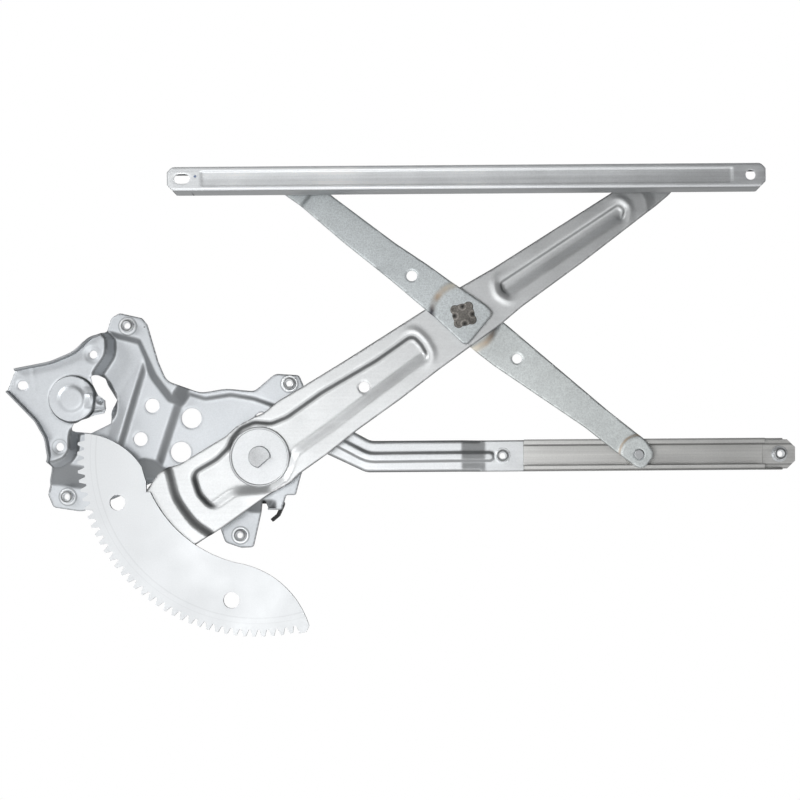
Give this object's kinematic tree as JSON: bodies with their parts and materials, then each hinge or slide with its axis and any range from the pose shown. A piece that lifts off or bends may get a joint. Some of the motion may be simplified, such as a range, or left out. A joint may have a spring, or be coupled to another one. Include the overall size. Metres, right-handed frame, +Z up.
{
  "type": "window regulator",
  "caption": "Scissor window regulator for a car's front door: a stamped base plate, a geared main arm, an equaliser arm and two guide rails, without its motor.",
  "frame": {"origin": "on the main pivot's axis, in the plane of the door's inner panel that the base plate is bolted to", "axes": "+X along both guide rails, away from the motor; +Z up; -Y towards the glass, +Y towards the cabin"},
  "size_m": [0.6747, 0.05, 0.3988],
  "materials": {
    "base_plate": "bluish zinc plating, satin",
    "base_weld_nuts": "zinc plating, satin",
    "rail_strap": "zinc plating, satin",
    "lower_rail": "galvanised, darker",
    "rail_weld_nuts": "zinc plating, satin",
    "pivot_bush": "plain steel, greased",
    "assist_spring": "black, oil-hardened strip",
    "main_arm": "zinc plating, satin",
    "pivot_disc": "zinc plating, satin",
    "pivot_shaft": "turned steel, zinc plated",
    "pivot_retainer": "plain steel",
    "sector_gear": "pale zinc plating, satin",
    "main_roller_pin": "turned steel, zinc plated",
    "main_roller": "natural nylon",
    "upper_equaliser_arm": "galvanised, bluish grain",
    "lower_equaliser_arm": "galvanised, bluish grain",
    "centre_pin": "staked, heat darkened",
    "centre_washers": "plain steel",
    "upper_roller_pin": "turned steel, zinc plated",
    "lower_roller_pin": "turned steel, zinc plated",
    "upper_roller": "natural nylon",
    "lower_roller": "natural nylon",
    "top_rail": "galvanised, satin, rolled streaks"
  },
  "bodies": {
    "base": {"base_plate": "base_plate", "base_weld_nuts": "base_weld_nuts", "rail_strap": "rail_strap", "lower_rail": "lower_rail", "rail_weld_nuts": "rail_weld_nuts", "pivot_bush": "pivot_bush", "assist_spring": "assist_spring"},
    "main_arm": {"main_arm": "main_arm", "pivot_disc": "pivot_disc", "pivot_shaft": "pivot_shaft", "pivot_retainer": "pivot_retainer", "sector_gear": "sector_gear", "main_roller_pin": "main_roller_pin"},
    "main_roller": {"main_roller": "main_roller"},
    "equaliser": {"upper_equaliser_arm": "upper_equaliser_arm", "lower_equaliser_arm": "lower_equaliser_arm", "centre_pin": "centre_pin", "centre_washers": "centre_washers", "upper_roller_pin": "upper_roller_pin", "lower_roller_pin": "lower_roller_pin"},
    "upper_roller": {"upper_roller": "upper_roller"},
    "lower_roller": {"lower_roller": "lower_roller"},
    "top_rail": {"top_rail": "top_rail"}
  },
  "joints": [
    {"name": "arm_lift", "type": "hinge", "parent": "base", "child": "main_arm", "pos_m": [0, 0, 0], "axis": [0, 1, 0], "range_deg": [0, 70], "stiffness_Nm_per_rad": 6, "springref_deg": -91.67, "deforming": ["assist_spring"]},
    {"name": "equaliser_swing", "type": "hinge", "parent": "main_arm", "child": "equaliser", "pos_m": [0.17544, 0, 0.11901], "axis": [0, 1, 0], "range_deg": [-149, 0.5]},
    {"name": "main_roller_turn", "type": "hinge", "parent": "main_arm", "child": "main_roller", "pos_m": [0.34162, 0, 0.23173], "axis": [0, 1, 0], "range_deg": [-70.5, 0.5]},
    {"name": "top_rail_slide", "type": "slide", "parent": "main_roller", "child": "top_rail", "axis": [1, 0, 0], "range_m": [-0.08, 0.02]},
    {"name": "upper_roller_spin", "type": "hinge", "parent": "equaliser", "child": "upper_roller", "pos_m": [0.03334, 0, 0.23173], "axis": [0, 1, 0], "continuous": true},
    {"name": "lower_roller_spin", "type": "hinge", "parent": "equaliser", "child": "lower_roller", "pos_m": [0.32548, 0, 0], "axis": [0, 1, 0], "continuous": true}
  ],
  "couplings": [
    {"joint": "equaliser_swing", "follows": "arm_lift", "ratio": -2.125},
    {"joint": "main_roller_turn", "follows": "arm_lift", "ratio": -1}
  ]
}
